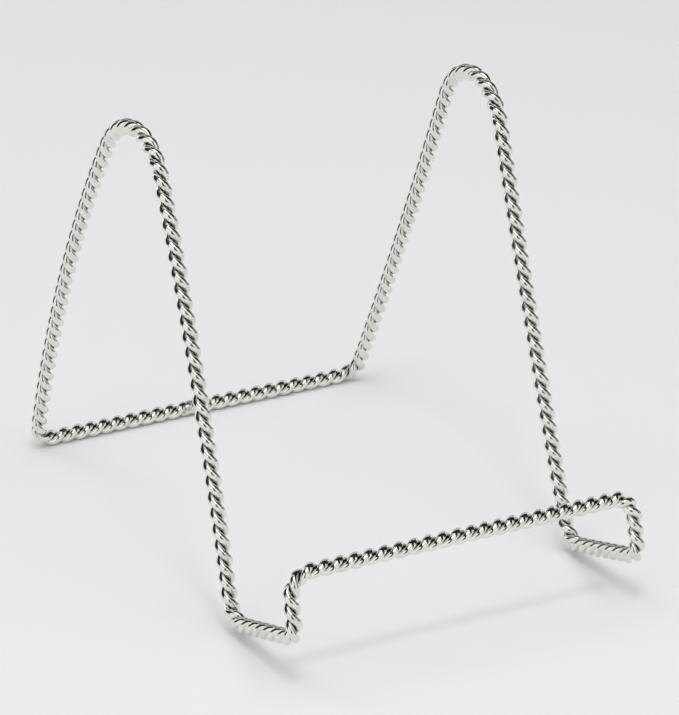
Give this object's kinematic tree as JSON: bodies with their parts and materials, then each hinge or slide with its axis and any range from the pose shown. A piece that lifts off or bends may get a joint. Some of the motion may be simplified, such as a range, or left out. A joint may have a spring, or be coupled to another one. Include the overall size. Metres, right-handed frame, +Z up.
{
  "type": "photo album stand",
  "caption": "Tabletop easel for a small album, bent from twisted plated wire: two A-shaped side frames, rear rail, and feet with lips and a front rail that hold the album.",
  "frame": {"origin": "on the table, in the middle of the stand's footprint", "axes": "+X across the stand to the viewer's right when facing its front, +Y from the album ledge to the rear rail, +Z up"},
  "size_m": [0.143, 0.2188, 0.166],
  "materials": {
    "plated_wire": "bright plated, polished",
    "plated_joint": "bright plated over a filed braze, slightly uneven"
  },
  "bodies": {
    "root": {"rear_rail_left_strand_a": "plated_wire", "left_back_leg_strand_a": "plated_wire", "left_top_bend_strand_a": "plated_wire", "left_front_leg_strand_a": "plated_wire", "left_foot_strand_a": "plated_wire", "left_lip_strand_a": "plated_wire", "front_rail_strand_a": "plated_wire", "right_lip_strand_a": "plated_wire", "right_foot_strand_a": "plated_wire", "right_front_leg_strand_a": "plated_wire", "right_top_bend_strand_a": "plated_wire", "right_back_leg_strand_a": "plated_wire", "rear_rail_right_strand_a": "plated_wire", "rear_rail_left_strand_b": "plated_wire", "left_back_leg_strand_b": "plated_wire", "left_top_bend_strand_b": "plated_wire", "left_front_leg_strand_b": "plated_wire", "left_foot_strand_b": "plated_wire", "left_lip_strand_b": "plated_wire", "front_rail_strand_b": "plated_wire", "right_lip_strand_b": "plated_wire", "right_foot_strand_b": "plated_wire", "right_front_leg_strand_b": "plated_wire", "right_top_bend_strand_b": "plated_wire", "right_back_leg_strand_b": "plated_wire", "rear_rail_right_strand_b": "plated_wire", "butt_joint": "plated_joint"}
  },
  "joints": []
}
